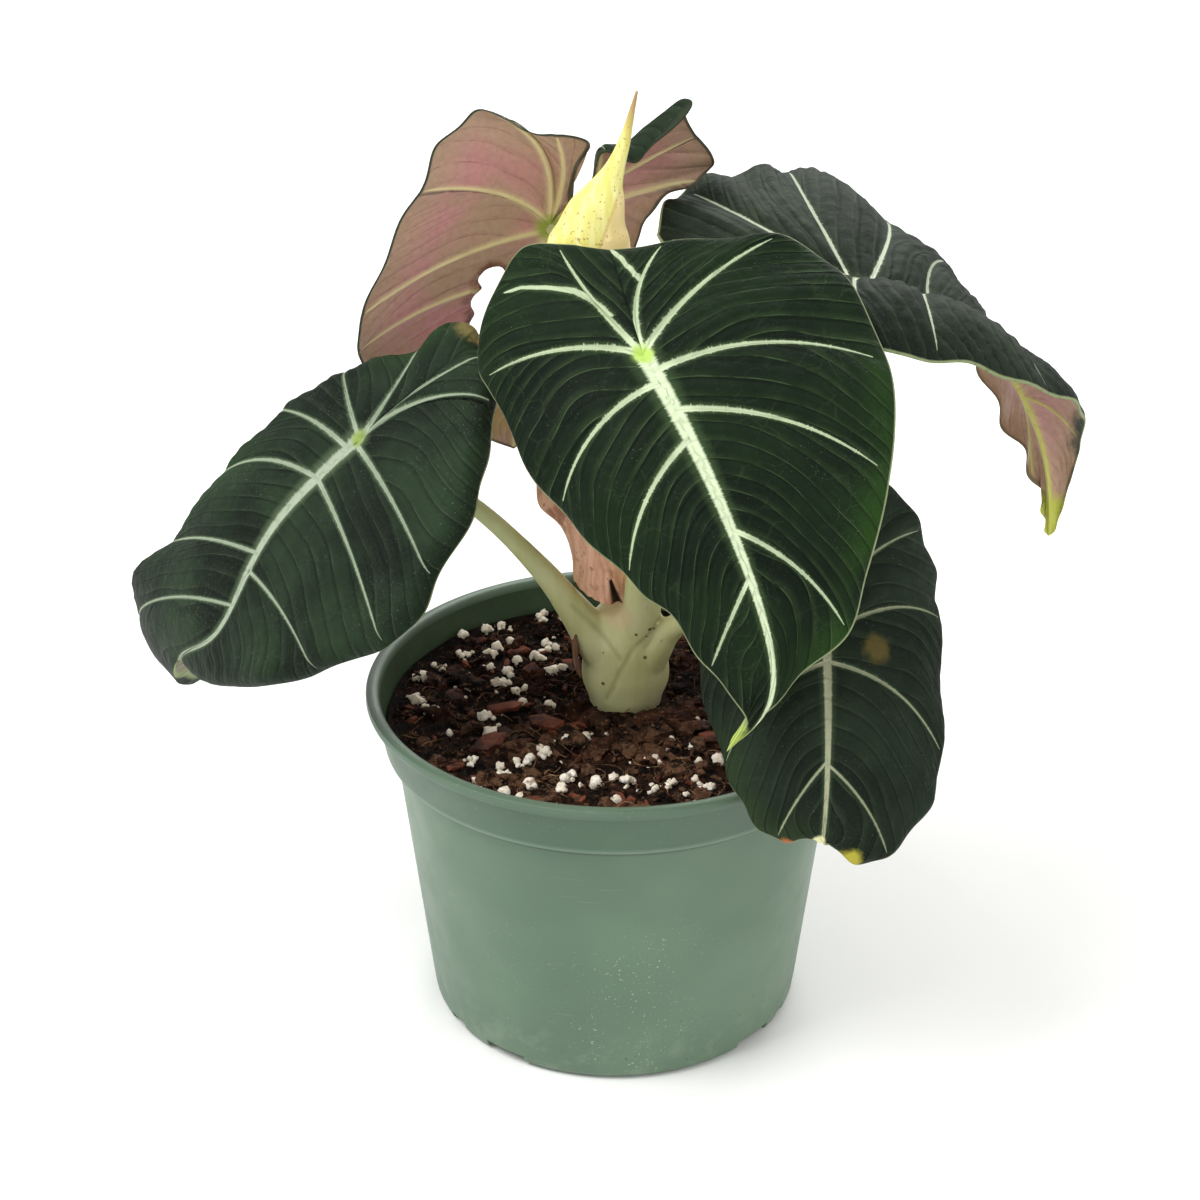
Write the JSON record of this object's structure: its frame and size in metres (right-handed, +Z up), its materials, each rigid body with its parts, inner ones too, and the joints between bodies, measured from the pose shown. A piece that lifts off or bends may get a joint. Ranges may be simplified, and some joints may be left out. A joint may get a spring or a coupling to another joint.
{
  "type": "potted alocasia plant",
  "caption": "Black velvet alocasia in a round green nursery pot: dark heart-shaped leaves with pale veins on green stems, a closed yellow spathe, bark and perlite soil",
  "frame": {"origin": "centre of the pot's foot, on the ground it stands on", "axes": "+Z up; -Y towards the picture's viewer; +X to the viewer's right"},
  "size_m": [0.3204, 0.2125, 0.3121],
  "materials": {
    "pot": "moulded green plastic, satin, paler with dust and light scuffs",
    "soil": "dark brown bark and peat with white perlite grains",
    "crown": "pale green smooth living stems",
    "blade": "velvety near-black green with cream-green veins, dusty pink underside",
    "spathe": "cream-yellow, waxy, brown at the tip",
    "sheath": "salmon-brown dry papery sheath",
    "scale": "dark brown papery remnant"
  },
  "bodies": {
    "root": {"pot": "pot", "soil": "soil", "crown": "crown", "blade_front": "blade", "blade_left": "blade", "blade_back": "blade", "blade_right": "blade", "blade_low": "blade", "spathe": "spathe", "dry_sheath": "sheath", "papery_scale": "scale"}
  },
  "joints": []
}
